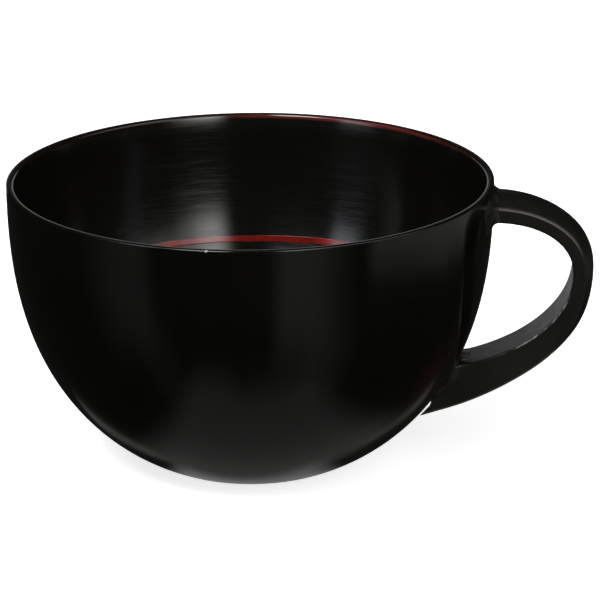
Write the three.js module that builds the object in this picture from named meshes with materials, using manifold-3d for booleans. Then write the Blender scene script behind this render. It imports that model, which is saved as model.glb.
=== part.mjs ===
// Handled lacquer soup bowl: a turned wooden bowl with a sawn wooden handle glued, pinned and puttied to its side.
// Millimetres, +Z up. The origin is the centre of the flat foot, and the handle points along +X.
import * as THREE from "three";
import { mergeVertices } from "three/addons/utils/BufferGeometryUtils.js";
import Module from "manifold-3d";

const wasm = await Module();
wasm.setup();

// Bowl
const RIM_RADIUS = 60;
const BOWL_HEIGHT = 72;
const FOOT_RADIUS = 24;
const LIP_THICKNESS = 2;
const LIP_ROUND_HEIGHT = 1.2;
const BASE_THICKNESS = 6;
// Powers of the rounded side: a larger one makes the wall straighter or the bottom flatter.
const WALL_POWER = 2.5;
const BOTTOM_POWER = 2.08;

// Red ring let into the inner wall, measured down from the rim to its upper edge
const BAND_DEPTH = 32;
const BAND_WIDTH = 1.6;
const BAND_THICKNESS = 0.6;
const BAND_CLEARANCE = 0.1;

// Handle: a strip whose middle line runs from the upper joint out to the bulge and back to the lower joint.
// The upper joint is measured down from the rim, the bulge down from the upper joint, the lower joint up from the foot.
const HANDLE_TOP_DROP = 6.5;
const HANDLE_BULGE_DROP = 15.8;
const HANDLE_LOW_HEIGHT = 19.5;
const HANDLE_REACH = 21.8;
const HANDLE_TOP_THICKNESS = 3.2;
const HANDLE_LOW_THICKNESS = 11.2;
const HANDLE_TOP_WIDTH = 17;
const HANDLE_LOW_WIDTH = 11.2;
const HANDLE_EDGE_RADIUS = 0.8;
const LOWER_ARM_SLOPE = THREE.MathUtils.degToRad(13);
const LOWER_TIP_LENGTH = 5;
// How far each end of the two curves pulls along its own direction
const TOP_PULL = 12.2;
const BULGE_PULL_UP = 9.8;
const BULGE_PULL_DOWN = 15;
const LOW_PULL = 18.2;

// Joints between the handle and the bowl
const GLUE_GAP = 0.3;
const PUTTY_LEG = 1.1;
const PUTTY_GAP = 0.15;
const LOWER_PUTTY_DROP = 3;
// Share of the strip's length that a bead is shaped over
const PUTTY_SHARE = 0.25;
const PIN_HEAD_RADIUS = 0.9;
const PIN_TIP_RADIUS = 0.65;
const PIN_SPACING = 6;
const PIN_GRIP = 4.5;
const PIN_SINK = 0.3;
const PIN_CLEARANCE = 0.15;

// Fineness of the facets
const ROUND_STEPS = 64;
const SIDE_STEPS = 15;
const LIP_STEPS = 6;
const HANDLE_STEPS = 36;
const JOINT_STEPS = 8;
const EDGE_STEPS = 1;
const PIN_SIDES = 12;
const MERGE_DISTANCE = 1e-4;
const PROBE_STEP = 0.02;

const OUTER_DEPTH = BOWL_HEIGHT / (1 - (FOOT_RADIUS / RIM_RADIUS) ** BOTTOM_POWER) ** (1 / WALL_POWER);
const INNER_DEPTH = BOWL_HEIGHT - BASE_THICKNESS;
const INNER_RIM_RADIUS = RIM_RADIUS - LIP_THICKNESS;
const HANDLE_TOP_HEIGHT = BOWL_HEIGHT - HANDLE_TOP_DROP;
const HANDLE_BULGE_HEIGHT = HANDLE_TOP_HEIGHT - HANDLE_BULGE_DROP;

// Radius of a rounded side at a depth below the rim, for a side that would close at fullDepth.
function sideRadius(rimRadius, fullDepth, depth) {
  const share = Math.max(0, 1 - (depth / fullDepth) ** WALL_POWER);
  return rimRadius * share ** (1 / BOTTOM_POWER);
}

function outerRadius(height) {
  return sideRadius(RIM_RADIUS, OUTER_DEPTH, BOWL_HEIGHT - height);
}

function innerRadius(height) {
  return sideRadius(INNER_RIM_RADIUS, INNER_DEPTH, BOWL_HEIGHT - height);
}

// Depths from one to another that crowd together where the side curves in.
function sideDepths(fullDepth, from, to) {
  const angleAt = (depth) => Math.asin((depth / fullDepth) ** (WALL_POWER / 2));
  const start = angleAt(from);
  const end = angleAt(to);
  const depths = [];
  for (let step = 0; step <= SIDE_STEPS; step += 1) {
    const angle = THREE.MathUtils.lerp(start, end, step / SIDE_STEPS);
    depths.push(fullDepth * Math.sin(angle) ** (2 / WALL_POWER));
  }
  return depths;
}

// Outside of the bowl from the foot up to the start of the lip, moved out by a margin.
function outerProfile(margin) {
  const depths = sideDepths(OUTER_DEPTH, LIP_ROUND_HEIGHT, BOWL_HEIGHT).reverse();
  return depths.map((depth) => {
    const height = BOWL_HEIGHT - depth;
    return new THREE.Vector2(outerRadius(height) + margin, height);
  });
}

// Rounded top of the lip, from the outside to the inside.
function lipProfile() {
  const middle = RIM_RADIUS - LIP_THICKNESS / 2;
  const base = BOWL_HEIGHT - LIP_ROUND_HEIGHT;
  const points = [];
  for (let step = 1; step < LIP_STEPS; step += 1) {
    const angle = (Math.PI * step) / LIP_STEPS;
    const radius = middle + (LIP_THICKNESS / 2) * Math.cos(angle);
    points.push(new THREE.Vector2(radius, base + LIP_ROUND_HEIGHT * Math.sin(angle)));
  }
  return points;
}

// Inside of the bowl from the lip down to the middle of the floor, with the groove for the red ring.
function innerProfile() {
  const grooveTop = BOWL_HEIGHT - BAND_DEPTH;
  const grooveBottom = grooveTop - BAND_WIDTH;
  const pointAt = (height, sunk) => new THREE.Vector2(innerRadius(height) + sunk, height);
  const heights = sideDepths(INNER_DEPTH, LIP_ROUND_HEIGHT, INNER_DEPTH).map((depth) => BOWL_HEIGHT - depth);
  const above = heights.filter((height) => height > grooveTop + BAND_THICKNESS);
  const below = heights.filter((height) => height < grooveBottom - BAND_THICKNESS);
  return [
    ...above.map((height) => pointAt(height, 0)),
    pointAt(grooveTop, 0),
    pointAt(grooveTop, BAND_THICKNESS),
    pointAt(grooveBottom, BAND_THICKNESS),
    pointAt(grooveBottom, 0),
    ...below.slice(0, -1).map((height) => pointAt(height, 0)),
    new THREE.Vector2(0, BASE_THICKNESS),
  ];
}

// A profile of radius and height turned round the Z axis.
function turned(profile) {
  return new THREE.LatheGeometry(profile, ROUND_STEPS).rotateX(Math.PI / 2);
}

// A closed solid for cutting and joining, from a geometry whose matching corners are merged.
function solidFrom(geometry) {
  const bare = geometry.clone();
  bare.deleteAttribute("normal");
  bare.deleteAttribute("uv");
  const merged = mergeVertices(bare, MERGE_DISTANCE);
  const corners = merged.index.array;
  const triangles = [];
  for (let i = 0; i < corners.length; i += 3) {
    const triangle = Array.from(corners.slice(i, i + 3));
    if (new Set(triangle).size === 3) {
      triangles.push(...triangle);
    }
  }
  const mesh = new wasm.Mesh({
    numProp: 3,
    vertProperties: new Float32Array(merged.attributes.position.array),
    triVerts: new Uint32Array(triangles),
  });
  return new wasm.Manifold(mesh);
}

function geometryFrom(solid) {
  const mesh = solid.getMesh();
  const geometry = new THREE.BufferGeometry();
  geometry.setAttribute("position", new THREE.BufferAttribute(mesh.vertProperties, 3));
  geometry.setIndex(new THREE.BufferAttribute(mesh.triVerts, 1));
  geometry.computeVertexNormals();
  return geometry;
}

// The bowl's outside as a plain solid, moved out by a margin and carried on past the rim.
function bowlEnvelope(margin) {
  const sides = outerProfile(margin);
  const top = BOWL_HEIGHT + HANDLE_TOP_THICKNESS;
  return solidFrom(turned([
    new THREE.Vector2(0, 0),
    ...sides,
    new THREE.Vector2(RIM_RADIUS + margin, top),
    new THREE.Vector2(0, top),
  ]));
}

// Joint of the handle with the bowl: where its middle line meets the wall, and the way out along the arm.
function upperJoint() {
  return {
    point: new THREE.Vector3(outerRadius(HANDLE_TOP_HEIGHT), 0, HANDLE_TOP_HEIGHT),
    outward: new THREE.Vector3(1, 0, 0),
  };
}

function lowerJoint() {
  return {
    point: new THREE.Vector3(outerRadius(HANDLE_LOW_HEIGHT), 0, HANDLE_LOW_HEIGHT),
    outward: new THREE.Vector3(Math.cos(LOWER_ARM_SLOPE), 0, Math.sin(LOWER_ARM_SLOPE)),
  };
}

// Middle line of the handle, with a straight end inside the wall at each joint.
function handlePath() {
  const upper = upperJoint();
  const lower = lowerJoint();
  const along = (from, direction, distance) => from.clone().addScaledVector(direction, distance);
  const up = new THREE.Vector3(0, 0, 1);
  const bulge = new THREE.Vector3(RIM_RADIUS + HANDLE_REACH, 0, HANDLE_BULGE_HEIGHT);
  const path = new THREE.CurvePath();
  path.add(new THREE.LineCurve3(along(upper.point, upper.outward, -LIP_THICKNESS), upper.point));
  path.add(new THREE.CubicBezierCurve3(
    upper.point,
    along(upper.point, upper.outward, TOP_PULL),
    along(bulge, up, BULGE_PULL_UP),
    bulge,
  ));
  path.add(new THREE.CubicBezierCurve3(
    bulge,
    along(bulge, up, -BULGE_PULL_DOWN),
    along(lower.point, lower.outward, LOW_PULL),
    lower.point,
  ));
  path.add(new THREE.LineCurve3(lower.point, along(lower.point, lower.outward, -LOWER_TIP_LENGTH)));
  return path;
}

// Rounded oblong section of the strip: first coordinate through its thickness, second across its width.
function stripSection(thickness, width, edge) {
  const x = thickness / 2 - edge;
  const y = width / 2 - edge;
  const quarter = Math.PI / 2;
  const outline = new THREE.Path();
  outline.absarc(x, y, edge, 0, quarter);
  outline.absarc(-x, y, edge, quarter, 2 * quarter);
  outline.absarc(-x, -y, edge, 2 * quarter, 3 * quarter);
  outline.absarc(x, -y, edge, 3 * quarter, 4 * quarter);
  return outline.getPoints(EDGE_STEPS);
}

// A closed geometry through rings of equally many points, with flat ends.
function loft(rings) {
  const count = rings[0].length;
  const last = (rings.length - 1) * count;
  const index = [];
  for (let start = 0; start < last; start += count) {
    for (let i = 0; i < count; i += 1) {
      const a = start + i;
      const b = start + ((i + 1) % count);
      index.push(a, b, b + count, a, b + count, a + count);
    }
  }
  for (let i = 1; i + 1 < count; i += 1) {
    index.push(0, i + 1, i);
    index.push(last, last + i, last + i + 1);
  }
  const geometry = new THREE.BufferGeometry().setFromPoints(rings.flat());
  geometry.setIndex(index);
  return geometry;
}

// The strip between two shares of its length, with its faces moved out by a margin.
function strip(from, to, steps, margin) {
  const path = handlePath();
  const across = new THREE.Vector3(0, 1, 0);
  const rings = [];
  for (let step = 0; step <= steps; step += 1) {
    const share = THREE.MathUtils.lerp(from, to, step / steps);
    const middle = path.getPoint(share);
    const inward = across.clone().cross(path.getTangent(share));
    const thickness = HANDLE_TOP_THICKNESS + (HANDLE_LOW_THICKNESS - HANDLE_TOP_THICKNESS) * share ** 2;
    const width = THREE.MathUtils.lerp(HANDLE_TOP_WIDTH, HANDLE_LOW_WIDTH, share);
    const section = stripSection(thickness + 2 * margin, width + 2 * margin, HANDLE_EDGE_RADIUS + margin);
    rings.push(section.map((point) => middle.clone()
      .addScaledVector(inward, point.x)
      .addScaledVector(across, point.y)));
  }
  return solidFrom(loft(rings));
}

// Where a pin's head starts, and how long the pin is, for a joint and a place across the strip.
function pinPlacement(joint, offset) {
  const inward = joint.outward.clone().negate();
  const entry = joint.point.clone().setY(offset);
  const probe = entry.clone();
  while (Math.hypot(probe.x, probe.y) > innerRadius(probe.z)) {
    probe.addScaledVector(inward, PROBE_STEP);
  }
  const wall = entry.distanceTo(probe);
  const length = wall - PIN_SINK + PIN_GRIP;
  return {
    length,
    middle: entry.addScaledVector(joint.outward, PIN_GRIP - length / 2),
    turn: new THREE.Quaternion().setFromUnitVectors(new THREE.Vector3(0, 1, 0), joint.outward),
  };
}

// The hole for a pin: its own shape with a clearance, carried on into the hollow of the bowl.
function pinHole(pin) {
  const tip = new THREE.CylinderGeometry(
    PIN_TIP_RADIUS + PIN_CLEARANCE,
    PIN_HEAD_RADIUS + PIN_CLEARANCE,
    pin.length + 2 * PIN_CLEARANCE,
    PIN_SIDES,
  );
  const mouthLength = LIP_THICKNESS + 2 * PIN_HEAD_RADIUS;
  const mouth = new THREE.CylinderGeometry(
    PIN_HEAD_RADIUS + PIN_CLEARANCE,
    PIN_HEAD_RADIUS + PIN_CLEARANCE,
    mouthLength,
    PIN_SIDES,
  );
  mouth.translate(0, -pin.length / 2 - mouthLength / 2 + PIN_CLEARANCE, 0);
  const place = (geometry) => geometry
    .applyQuaternion(pin.turn)
    .translate(pin.middle.x, pin.middle.y, pin.middle.z);
  return solidFrom(place(tip)).add(solidFrom(place(mouth)));
}

function cutHoles(solid, pins) {
  return pins.reduce((rest, pin) => rest.subtract(pinHole(pin)), solid);
}

function bowlBody(pins) {
  const profile = [new THREE.Vector2(0, 0), ...outerProfile(0), ...lipProfile(), ...innerProfile()];
  return geometryFrom(cutHoles(solidFrom(turned(profile)), pins));
}

function handle(pins) {
  const whole = strip(0, 1, HANDLE_STEPS, 0);
  return geometryFrom(cutHoles(whole.subtract(bowlEnvelope(GLUE_GAP)), pins));
}

// Bead in the corner between the wall and the strip, over one end of the strip.
function puttyBead(from, to) {
  const around = strip(from, to, JOINT_STEPS, PUTTY_LEG);
  const inside = strip(from, to, JOINT_STEPS, PUTTY_GAP);
  const nearWall = bowlEnvelope(PUTTY_GAP + PUTTY_LEG).subtract(bowlEnvelope(PUTTY_GAP));
  return around.intersect(nearWall).subtract(inside);
}

function upperJointPutty() {
  return geometryFrom(puttyBead(0, PUTTY_SHARE));
}

// The lower bead stops short of the strip's under side, where the glue line stays open.
function lowerJointPutty() {
  const size = 2 * RIM_RADIUS;
  const under = new THREE.BoxGeometry(size, size, size);
  under.translate(RIM_RADIUS, 0, HANDLE_LOW_HEIGHT - LOWER_PUTTY_DROP - size / 2);
  return geometryFrom(puttyBead(1 - PUTTY_SHARE, 1).subtract(solidFrom(under)));
}

function vermilionBand() {
  const top = BOWL_HEIGHT - BAND_DEPTH - BAND_CLEARANCE;
  const bottom = BOWL_HEIGHT - BAND_DEPTH - BAND_WIDTH + BAND_CLEARANCE;
  const back = BAND_THICKNESS - BAND_CLEARANCE;
  return turned([
    new THREE.Vector2(innerRadius(bottom), bottom),
    new THREE.Vector2(innerRadius(bottom) + back, bottom),
    new THREE.Vector2(innerRadius(top) + back, top),
    new THREE.Vector2(innerRadius(top), top),
    new THREE.Vector2(innerRadius(bottom), bottom),
  ]);
}

function pinGeometry(pin) {
  return new THREE.CylinderGeometry(PIN_TIP_RADIUS, PIN_HEAD_RADIUS, pin.length, PIN_SIDES);
}

const blackLacquer = new THREE.MeshStandardMaterial({ color: 0x15110f, roughness: 0.22, metalness: 0 });
const redLacquer = new THREE.MeshStandardMaterial({ color: 0x8a1a10, roughness: 0.3, metalness: 0 });
const lacquerPutty = new THREE.MeshStandardMaterial({ color: 0x1d1613, roughness: 0.45, metalness: 0 });
const bamboo = new THREE.MeshStandardMaterial({ color: 0xc2a063, roughness: 0.6, metalness: 0 });

const bowl = new THREE.Group();
bowl.name = "handled_lacquer_soup_bowl";

function addPart(name, geometry, material) {
  const mesh = new THREE.Mesh(geometry, material);
  mesh.name = name;
  bowl.add(mesh);
  return mesh;
}

const pins = [];
for (const [end, joint] of [["upper", upperJoint()], ["lower", lowerJoint()]]) {
  for (const [side, offset] of [["front", -PIN_SPACING / 2], ["back", PIN_SPACING / 2]]) {
    const pin = pinPlacement(joint, offset);
    const mesh = addPart(`${end}_pin_${side}`, pinGeometry(pin), bamboo);
    mesh.position.copy(pin.middle);
    mesh.quaternion.copy(pin.turn);
    pins.push(pin);
  }
}
addPart("bowl_body", bowlBody(pins), blackLacquer);
addPart("handle", handle(pins), blackLacquer);
addPart("upper_joint_putty", upperJointPutty(), lacquerPutty);
addPart("lower_joint_putty", lowerJointPutty(), lacquerPutty);
addPart("vermilion_band", vermilionBand(), redLacquer);

export default bowl;
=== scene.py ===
"""Looks of the handled lacquer soup bowl: black lacquer over turned wood, a worn lip and a red ring inside.

Metres, in the same frame as the solids: origin at the centre of the foot, +Z up, handle along +X.
"""
import math
from dataclasses import dataclass
from typing import Callable

import bpy
import numpy as np
from mathutils import Matrix, Vector, noise


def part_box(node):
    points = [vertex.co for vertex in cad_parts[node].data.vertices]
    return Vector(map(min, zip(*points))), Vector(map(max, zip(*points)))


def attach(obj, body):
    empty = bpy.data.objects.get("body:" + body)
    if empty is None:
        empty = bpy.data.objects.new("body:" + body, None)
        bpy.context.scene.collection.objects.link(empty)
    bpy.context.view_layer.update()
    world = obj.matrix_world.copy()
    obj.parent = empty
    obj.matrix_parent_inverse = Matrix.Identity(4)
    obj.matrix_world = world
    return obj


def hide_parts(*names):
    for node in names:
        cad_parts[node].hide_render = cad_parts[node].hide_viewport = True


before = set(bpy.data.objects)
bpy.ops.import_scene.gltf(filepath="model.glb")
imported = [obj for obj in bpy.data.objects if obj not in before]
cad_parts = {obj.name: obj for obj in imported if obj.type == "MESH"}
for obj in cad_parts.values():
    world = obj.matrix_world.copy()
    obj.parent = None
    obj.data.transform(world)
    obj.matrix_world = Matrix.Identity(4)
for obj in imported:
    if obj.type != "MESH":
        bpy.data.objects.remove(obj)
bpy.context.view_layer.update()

MM = 0.001

# Bowl: the outside and the inside are rounded sides that would close at a full depth below the rim.
RIM_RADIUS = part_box("bowl_body")[1].y
BOWL_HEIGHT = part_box("bowl_body")[1].z
FOOT_RADIUS = 24 * MM
FOOT_EDGE = 0.7 * MM
BASE_THICKNESS = 6 * MM
WALL_POWER = 2.54
BOTTOM_POWER = 2.08
OUTER_DEPTH = BOWL_HEIGHT / (1 - (FOOT_RADIUS / RIM_RADIUS) ** BOTTOM_POWER) ** (1 / WALL_POWER)
INNER_DEPTH = BOWL_HEIGHT - BASE_THICKNESS

# Low down, the wall is thicker inside by a share of its radius, over the heads of the lower pins.
HEEL_HEIGHT = 17 * MM
HEEL_SPREAD = 9 * MM
HEEL_SHARE = 0.036

# Lip: bends from the outside to the inside, as the way at start and end (90 up, 180 inwards) and the length
LIP_BENDS = ((90, 168, 0.41 * MM), (168, 180, 0.45 * MM), (180, 188, 0.60 * MM), (188, 256, 0.92 * MM))
LIP_THICKNESS = 2.0 * MM
LIP_FLARE = 0.78 * MM
LIP_FLARE_DEPTH = 5.5 * MM
LIP_FLARE_POWER = 1.8

# Wear of the lip: where it lies inwards from the crest and how it fades, and where it is round the bowl
WEAR_CENTRE = 1.5 * MM
WEAR_INWARDS = 0.62 * MM
WEAR_OUTWARDS = 0.75 * MM
WEAR_ANGLE = math.radians(68)
WEAR_SPREAD = math.radians(34)
WEAR_LEAST = 0.3

# The look of the inside starts and is full at these distances inwards from the crest of the lip.
INSIDE_START = 1.0 * MM
INSIDE_FULL = 2.0 * MM

# One nick in the front of the lip, pale grey: partly its chipped ground and partly a painted glint
NICK_ANGLE = math.radians(-94.9)
NICK_DEPTH = 0.2 * MM
NICK_SIZE = 0.42 * MM

# A patch of thin black coat in front of the lower joint, with red showing through
THIN_ANGLE = math.radians(-27)
THIN_HEIGHT = 29.5 * MM
THIN_FULL = 3.75 * MM
THIN_REACH = 15 * MM

# Red ring inside
BAND_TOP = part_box("vermilion_band")[1].z + 0.20 * MM
BAND_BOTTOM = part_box("vermilion_band")[0].z - 0.05 * MM
BAND_WANDER = 0.16 * MM
BAND_PROUD = 0.02 * MM
BAND_BACK = 0.08 * MM
BAND_WAVES = 9

# Handle: middle line, thickness and width
HANDLE_TOP_HEIGHT = BOWL_HEIGHT - 6.5 * MM
HANDLE_BULGE_HEIGHT = HANDLE_TOP_HEIGHT - 15.8 * MM
HANDLE_LOW_HEIGHT = 19.5 * MM
HANDLE_REACH = 21.8 * MM
HANDLE_TOP_THICKNESS = 3.2 * MM
HANDLE_LOW_THICKNESS = 11.2 * MM
HANDLE_TOP_WIDTH = 17 * MM
HANDLE_LOW_WIDTH = 11.2 * MM
HANDLE_CROWN = 1.5 * MM
INNER_EDGE_RADIUS = 0.5 * MM
OUTER_EDGE_RADIUS = 0.9 * MM
LOWER_ARM_SLOPE = math.radians(13)
LOWER_TIP_LENGTH = 5 * MM
TOP_PULL = 12.2 * MM
BULGE_PULL_UP = 9.8 * MM
BULGE_PULL_DOWN = 15 * MM
LOW_PULL = 18.2 * MM

# Extra thickness of the handle, and the shares of its length over which it comes or goes
UPPER_FILL = 0.5 * MM
UPPER_FILL_END = (0, 0.35)
ROOT_FILL = 0.4 * MM
ROOT_FILL_END = (0.02, 0.24)
LOWER_FILL = 0.5 * MM
LOWER_FILL_START = (0.72, 0.98)
BULGE_TRIM = 0.65 * MM
BULGE_SHARE = 0.40
BULGE_SPREAD = 0.09

# Parts of the handle's length in which its upper and its lower end are looked for
UPPER_PART_END = 0.3
LOWER_PART_START = 0.7

# Ends of the handle: both are let into the wall. Under the lower joint a slit stays open, cut on a slant to
# the back. Pairs are shares of the way through the strip, from inner to outer face.
UPPER_LET_IN = 0.7 * MM
LOWER_LET_IN = 0.5 * MM
SLIT_WIDTH = 1.95 * MM
SLIT_START = (0.55, 0.92)
SLIT_TIP_CLOSING = 0.25 * MM
SLIT_TIP = (0.90, 1.0)
SLIT_SLANT = 3.4 * MM
SLANT_START = (0.57, 0.74)

# Wear of the handle with a painted highlight on part of it, and a painted glint on the inner front edge.
# START and END are shares of its length over which these come or go. SIDE is how far sideways an edge faces,
# DEPTH is how far through the strip it lies, and each has the width of its wear.
EDGE_LINE_SIDE = (0.97, 0.06)
EDGE_LINE_LOSS = 0.75
EDGE_LINE_END = (0.26, 0.36)
EDGE_RUB = 0.85
EDGE_RUB_SIDE = (0.80, 0.20)
EDGE_RUB_START = (0.48, 0.62)
TONGUE_WEAR = 0.62
TONGUE_WEAR_DEPTH = (1.0, 0.09)
TONGUE_WEAR_START = (0.80, 0.86)
TONGUE_WEAR_END = (0.92, 0.97)
INNER_EDGE_WEAR = 0.2
INNER_EDGE_SIDE = (0.7, 0.25)
# A painted glint along the inner front edge comes and goes over these shares of the length
GLINT_START = (0.42, 0.50)
GLINT_END = (0.64, 0.76)
RASP_START = (0.25, 0.5)
PALE_FLANK_LEAST = 0.3
PALE_FLANK_START = (0.5, 0.8)

# Brush marks take the way through the strip, from inner to outer face, to be this long.
THROUGH_LENGTH = 10 * MM

# Putty: how its sheet curves in from its legs, how legs and lumps vary, and how deep its hem is sunk. Scales
# are per metre. At the lower joint it goes down the sides to a share of the way through the strip.
PUTTY_CURVE = 2.2
PUTTY_VARY = 0.3
PUTTY_VARY_SCALE = 500
PUTTY_LUMP_SCALE = 800
PUTTY_GRAIN_SCALE = 2000
PUTTY_LUMP_LEVEL = 0.5
PUTTY_LUMP_GAIN = 0.8
PUTTY_WALL_TAPER = 0.6
PUTTY_TURN = (0.2, 0.8)
PUTTY_SUNK = 0.3 * MM
PUTTY_END_BURIED = 0.05 * MM
LOWER_PUTTY_DEPTH = 0.66

# Fineness of the meshes
ROUND_STEPS = 240
BAND_STEPS = 720
BAND_ROWS = (0.0, 0.06, 0.25, 0.5, 0.75, 0.94, 1.0)
FOOT_STEPS = 10
SIDE_STEPS = 56
LIP_STEPS = 9
FLARE_STEPS = 18
UPPER_ARM_STEPS = 200
LOWER_ARM_STEPS = 300
STRIP_SHARES = np.linspace(-0.015, 1.05, 700)
HANDLE_STEPS = 150
EDGE_STEPS = 6
FACE_STEPS = 20
FLANK_STEPS = 12
PUTTY_STEPS = 12

# Stage: the floor, and a card behind the bowl. Patches are the four places of a fade in and out.
FLOOR_REACH = 4.0
FLOOR_GREY = (0.80, 0.80, 0.80, 1)
FLOOR_GLOW = 0.75
FOOT_PATCH_X = (-0.022, -0.013, 0.015, 0.026)
FOOT_PATCH_Y = (-0.033, -0.026, 0.0, 0.02)
FOOT_PATCH_LIGHT = 0.28
BACK_PATCH_X = (-0.09, -0.06, 0.05, 0.08)
BACK_PATCH_Y = (0.11, 0.14, 0.40, 0.50)
BACK_PATCH_LIGHT = 0.5
CARD_LEFT = -0.28
CARD_RIGHT = 0.12
CARD_TOP = 0.26
CARD_BEHIND = 0.30
CARD_PATCH_X = (-0.26, -0.22, 0.04, 0.070)
CARD_PATCH_Z = (-2, -1, 0.105, 0.170)
CARD_LIGHT = 0.50

# Camera: where it stands, where it looks, and its lens on a 36 mm sensor
CAMERA_PLACE = Vector((61.51, -706.58, 281.82)) * MM
CAMERA_TARGET = Vector((12.04, 0.84, 39.77)) * MM
CAMERA_LENS = 180
CAMERA_SENSOR = 36
CAMERA_ROLL = math.radians(-0.32)

# Colours, the lacquer's index of refraction, and the light of the dim room
WHITE = (1, 1, 1, 1)
BLACK = (0.0023, 0.0023, 0.0017, 1)
WARM_BLACK = (0.0032, 0.0029, 0.0021, 1)
PALE_INSIDE_BLACK = (0.0034, 0.0033, 0.0028, 1)
SATIN_BLACK = (0.0017, 0.0017, 0.0012, 1)
SATIN_GREY = (0.0029, 0.0028, 0.0021, 1)
FLANK_GREY = (0.0125, 0.0123, 0.0104, 1)
PUTTY_GREY = (0.0160, 0.0152, 0.0130, 1)
DARK_RED = (0.030, 0.0040, 0.0026, 1)
WORN_RED = (0.085, 0.0140, 0.0100, 1)
# Brown of worn handle edges; on the upper outer edge it is partly a painted highlight
WORN_BROWN_AND_HIGHLIGHT = (0.100, 0.069, 0.043, 1)
DUST = (0.12, 0.11, 0.10, 1)
NICK_GREY_AND_GLINT = (0.40, 0.38, 0.35, 1)
# Pale grey of a painted glint on the handle's inner front edge
PAINTED_GLINT_GREY = (0.34, 0.34, 0.33, 1)
VERMILION = (0.165, 0.0080, 0.0042, 1)
DEEP_VERMILION = (0.090, 0.0055, 0.0034, 1)
BAMBOO = (0.56, 0.38, 0.15, 1)
BAMBOO_FIBRE = (0.34, 0.20, 0.07, 1)
LACQUER_IOR = 1.5
DIM_ROOM = {"X": 0.012, "Y": 0.012, "Z": 0.011}


def smooth_step(low, high, value):
    """0 below low, 1 above high, and a smooth rise between them."""
    share = np.clip((value - low) / (high - low), 0, 1)
    return share * share * (3 - 2 * share)


def hump(value, centre, width):
    """1 at the centre, with a smooth fall to both sides."""
    return np.exp(-((value - centre) / width) ** 2)


def lumpy(broad, fine):
    """Noise at one place, with weaker noise from a second place."""
    return noise.noise(broad) + 0.6 * noise.noise(fine)


def round_point(radius, angle, height):
    """The point at a radius and an angle round the bowl's axis, and a height."""
    return Vector((radius * math.cos(angle), radius * math.sin(angle), height))


def side_radius(rim_radius, full_depth, height):
    """Radius of a rounded side at a height above the foot."""
    depth = np.clip(BOWL_HEIGHT - height, 0, full_depth)
    return rim_radius * (1 - (depth / full_depth) ** WALL_POWER) ** (1 / BOTTOM_POWER)


def outer_radius(height):
    """Radius outside."""
    return side_radius(RIM_RADIUS, OUTER_DEPTH, height)


def lip_flare(height):
    """How far the inside opens out just below the lip."""
    share = np.clip((height - BOWL_HEIGHT + LIP_FLARE_DEPTH) / LIP_FLARE_DEPTH, 0, 1)
    return LIP_FLARE * share**LIP_FLARE_POWER


def lip_line():
    """Radius and height over the lip, from the outside to the inside."""
    points = [(0.0, 0.0)]
    for start, end, length in LIP_BENDS:
        step = length / LIP_STEPS
        for share in (np.arange(LIP_STEPS) + 0.5) / LIP_STEPS:
            way = math.radians(start + (end - start) * share)
            radius, height = points[-1]
            points.append((radius + step * math.cos(way), height + step * math.sin(way)))
    line = np.array(points)
    line[:, 1] += BOWL_HEIGHT - line[:, 1].max()
    line[:, 0] += outer_radius(line[0, 1])
    return line


LIP_LINE = lip_line()
INNER_EDGE_RADIAL, INNER_EDGE_HEIGHT = LIP_LINE[-1]
INNER_EDGE_SHARE = side_radius(1.0, INNER_DEPTH, INNER_EDGE_HEIGHT)
INNER_RIM_RADIUS = (INNER_EDGE_RADIAL - lip_flare(INNER_EDGE_HEIGHT)) / INNER_EDGE_SHARE


def inner_radius(height):
    """Radius inside."""
    thicker = HEEL_SHARE * hump(height, HEEL_HEIGHT, HEEL_SPREAD)
    return side_radius(INNER_RIM_RADIUS, INNER_DEPTH, height) * (1 - thicker) + lip_flare(height)


def side_heights(full_depth, from_depth, to_depth):
    """Heights down a rounded side that crowd together where it curves in."""
    start = math.asin((from_depth / full_depth) ** (WALL_POWER / 2))
    end = math.asin((to_depth / full_depth) ** (WALL_POWER / 2))
    angles = np.linspace(start, end, SIDE_STEPS + 1)
    return BOWL_HEIGHT - full_depth * np.sin(angles) ** (2 / WALL_POWER)


def make_piece(name, points, faces, material, node, values=None):
    """A smooth mesh that rides on the object, stands for a node, and carries named values at its points."""
    mesh = bpy.data.meshes.new(name)
    mesh.from_pydata([tuple(p) for p in points], [], faces)
    mesh.update()
    for key, numbers in (values or {}).items():
        layer = mesh.attributes.new(key, "FLOAT", "POINT")
        layer.data.foreach_set("value", np.asarray(numbers, np.float32))
    mesh.polygons.foreach_set("use_smooth", [True] * len(mesh.polygons))
    mesh.materials.append(material)
    piece = bpy.data.objects.new(name, mesh)
    bpy.context.scene.collection.objects.link(piece)
    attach(piece, "root")
    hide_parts(node)
    return piece


def tube_faces(rows, size, closed):
    """Faces between rows of points that are rings. The last row meets the first if it is closed."""
    faces = []
    for i in range(rows if closed else rows - 1):
        here = i * size
        there = ((i + 1) % rows) * size
        for k in range(size):
            after = (k + 1) % size
            faces.append((here + k, here + after, there + after, there + k))
    return faces


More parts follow.
